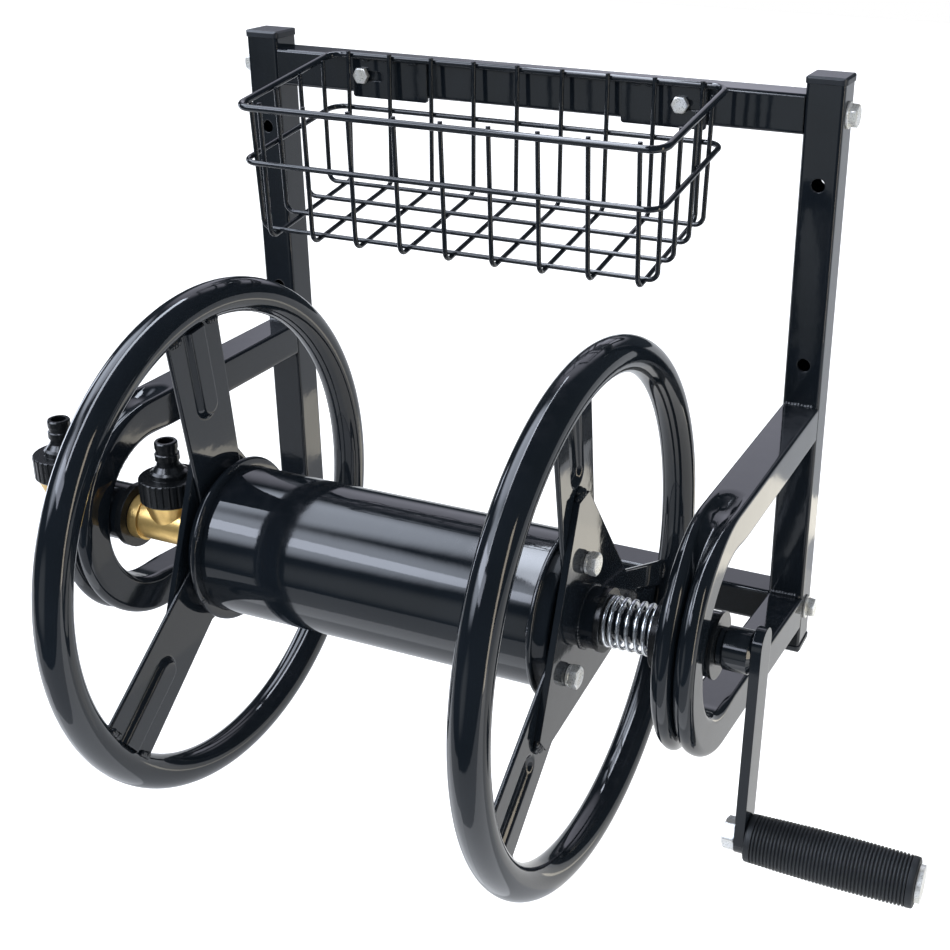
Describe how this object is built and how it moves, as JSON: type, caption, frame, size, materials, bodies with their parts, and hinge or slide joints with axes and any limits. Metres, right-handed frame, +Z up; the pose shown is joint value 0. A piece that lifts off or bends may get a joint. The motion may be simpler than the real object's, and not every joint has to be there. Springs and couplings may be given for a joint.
{
  "type": "wall mounted hose reel",
  "caption": "Wall frame of square tube with looped arms that carry a crank-turned hose drum between spoked wheels, with a brass water swivel and a wire basket on top.",
  "frame": {"origin": "centre of the four wall holes, on the wall plane", "axes": "+X along the reel axis towards the crank, +Y into the wall, +Z up"},
  "size_m": [0.6097, 0.3973, 0.4495],
  "materials": {
    "black_paint": "gloss black paint",
    "zinc": "bright zinc plate",
    "brass": "machined brass",
    "rubber": "black rubber",
    "grey_plastic": "dark grey moulded plastic",
    "black_plastic": "black moulded plastic"
  },
  "bodies": {
    "frame": {"left_post": "black_paint", "right_post": "black_paint", "post_caps": "grey_plastic", "top_crossbar": "black_paint", "bottom_crossbar": "black_paint", "crossbar_nut_plates": "black_paint", "frame_bolts": "zinc", "frame_washers": "zinc", "left_arm": "black_paint", "right_arm": "black_paint", "left_sleeve": "black_paint", "right_sleeve": "black_paint", "left_inner_bush": "black_plastic", "left_outer_bush": "black_plastic", "right_inner_bush": "black_plastic", "right_outer_bush": "black_plastic", "basket_rim": "black_paint", "basket_band": "black_paint", "basket_cross_wires": "black_paint", "basket_long_wires": "black_paint", "basket_plates": "black_paint", "basket_bolts": "zinc"},
    "reel": {"drum": "black_paint", "left_cup": "black_paint", "right_cup": "black_paint", "left_rim": "black_paint", "right_rim": "black_paint", "left_spokes": "black_paint", "right_spokes": "black_paint", "left_hub_plate": "black_paint", "right_hub_plate": "black_paint", "left_boss": "black_paint", "right_boss": "black_paint", "left_hub_bolts": "zinc", "right_hub_bolts": "zinc", "left_lock_washers": "zinc", "right_lock_washers": "zinc", "left_hub_nuts": "zinc", "right_hub_nuts": "zinc", "left_axle": "black_paint", "right_axle": "black_paint", "thrust_washer": "black_plastic", "drag_spring": "zinc", "brass_tee": "brass", "water_stem": "brass", "stem_o_rings": "rubber", "outlet_adapter": "black_plastic", "crank_hub": "black_paint", "crank_arm": "black_paint", "grip_bolt": "zinc", "grip_nut": "zinc"},
    "grip": {"grip": "rubber"},
    "inlet": {"inlet_elbow": "brass", "inlet_adapter": "black_plastic"}
  },
  "joints": [
    {"name": "reel_spin", "type": "hinge", "parent": "frame", "child": "reel", "pos_m": [0, -0.2305, -0.1565], "axis": [1, 0, 0], "continuous": true},
    {"name": "grip_spin", "type": "hinge", "parent": "reel", "child": "grip", "pos_m": [0.3, -0.23965, -0.27545], "axis": [1, 0, 0], "continuous": true},
    {"name": "inlet_swivel", "type": "hinge", "parent": "frame", "child": "inlet", "pos_m": [-0.249, -0.2305, -0.1565], "axis": [1, 0, 0], "continuous": true}
  ]
}
